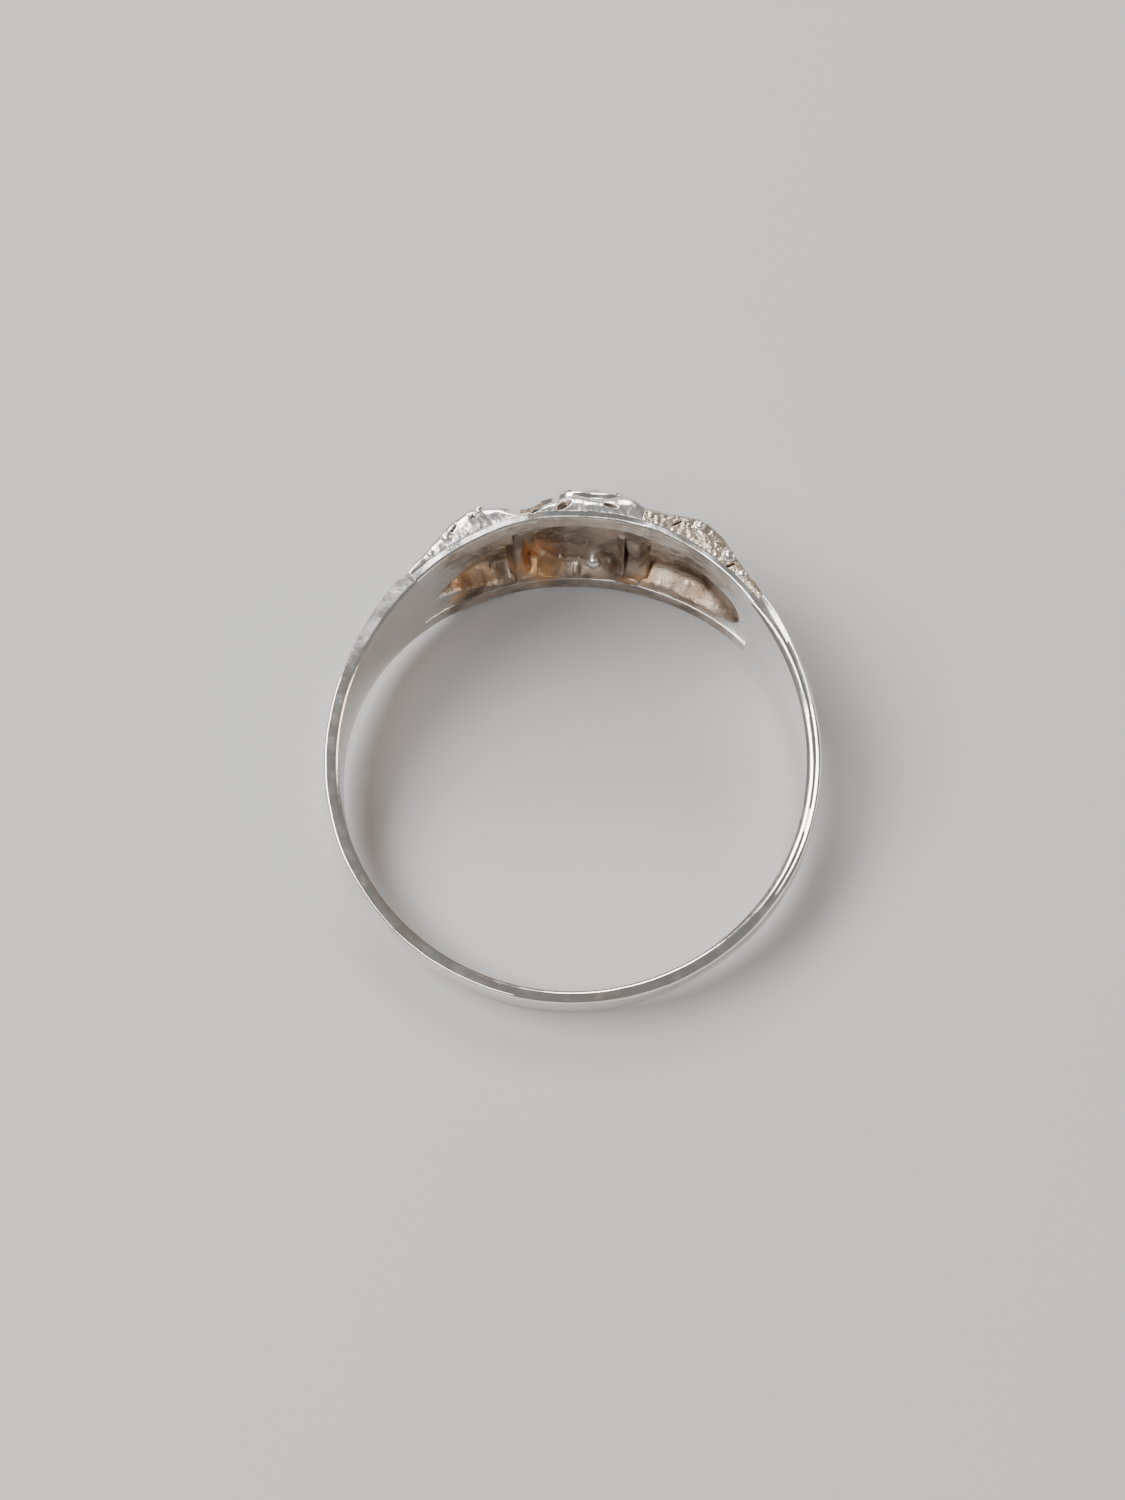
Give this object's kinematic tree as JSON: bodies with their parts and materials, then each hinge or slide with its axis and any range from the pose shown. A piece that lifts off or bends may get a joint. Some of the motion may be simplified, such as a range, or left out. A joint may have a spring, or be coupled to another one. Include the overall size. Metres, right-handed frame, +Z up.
{
  "type": "engagement ring",
  "caption": "Silver engagement ring with a tapered D-section shank, a hollow-backed lobed head, pierced galleries and round brilliant stones along the shoulders.",
  "frame": {"origin": "centre of the finger hole, at the middle of the band's width", "axes": "+Z up from the surface that the ring lies on, +Y towards the head, +X to the right seen from above; the finger hole's axis leans back 9 degrees from +Z because the head is wider than the back"},
  "size_m": [0.0186, 0.0201, 0.0071],
  "materials": {
    "polished_shank": "polished silver",
    "polished_rails": "polished silver",
    "polished_galleries": "polished silver",
    "shoulder_silver": "polished silver",
    "setting_silver": "polished silver",
    "bead_silver": "polished silver",
    "hollow_silver": "unpolished silver, tarnished brown in the hollows",
    "clear_stone": "clear faceted stone"
  },
  "bodies": {
    "root": {"shank": "polished_shank", "near_rail": "polished_rails", "far_rail": "polished_rails", "left_rib": "hollow_silver", "right_rib": "hollow_silver", "left_near_gallery": "polished_galleries", "right_near_gallery": "polished_galleries", "left_far_gallery": "polished_galleries", "right_far_gallery": "polished_galleries", "centre_near_gallery": "polished_galleries", "centre_far_gallery": "polished_galleries", "left_shoulder_plate": "shoulder_silver", "right_shoulder_plate": "shoulder_silver", "left_gallery_beads": "bead_silver", "right_gallery_beads": "bead_silver", "centre_back_plate": "hollow_silver", "centre_pegs": "hollow_silver", "centre_collet": "setting_silver", "centre_illusion_plate": "setting_silver", "centre_claws": "bead_silver", "centre_stone": "clear_stone", "left_illusion_plate": "setting_silver", "right_illusion_plate": "setting_silver", "left_side_stone": "clear_stone", "right_side_stone": "clear_stone", "left_side_grains": "bead_silver", "right_side_grains": "bead_silver", "left_accent_stones": "clear_stone", "right_accent_stones": "clear_stone", "left_accent_grains": "bead_silver", "right_accent_grains": "bead_silver"}
  },
  "joints": []
}
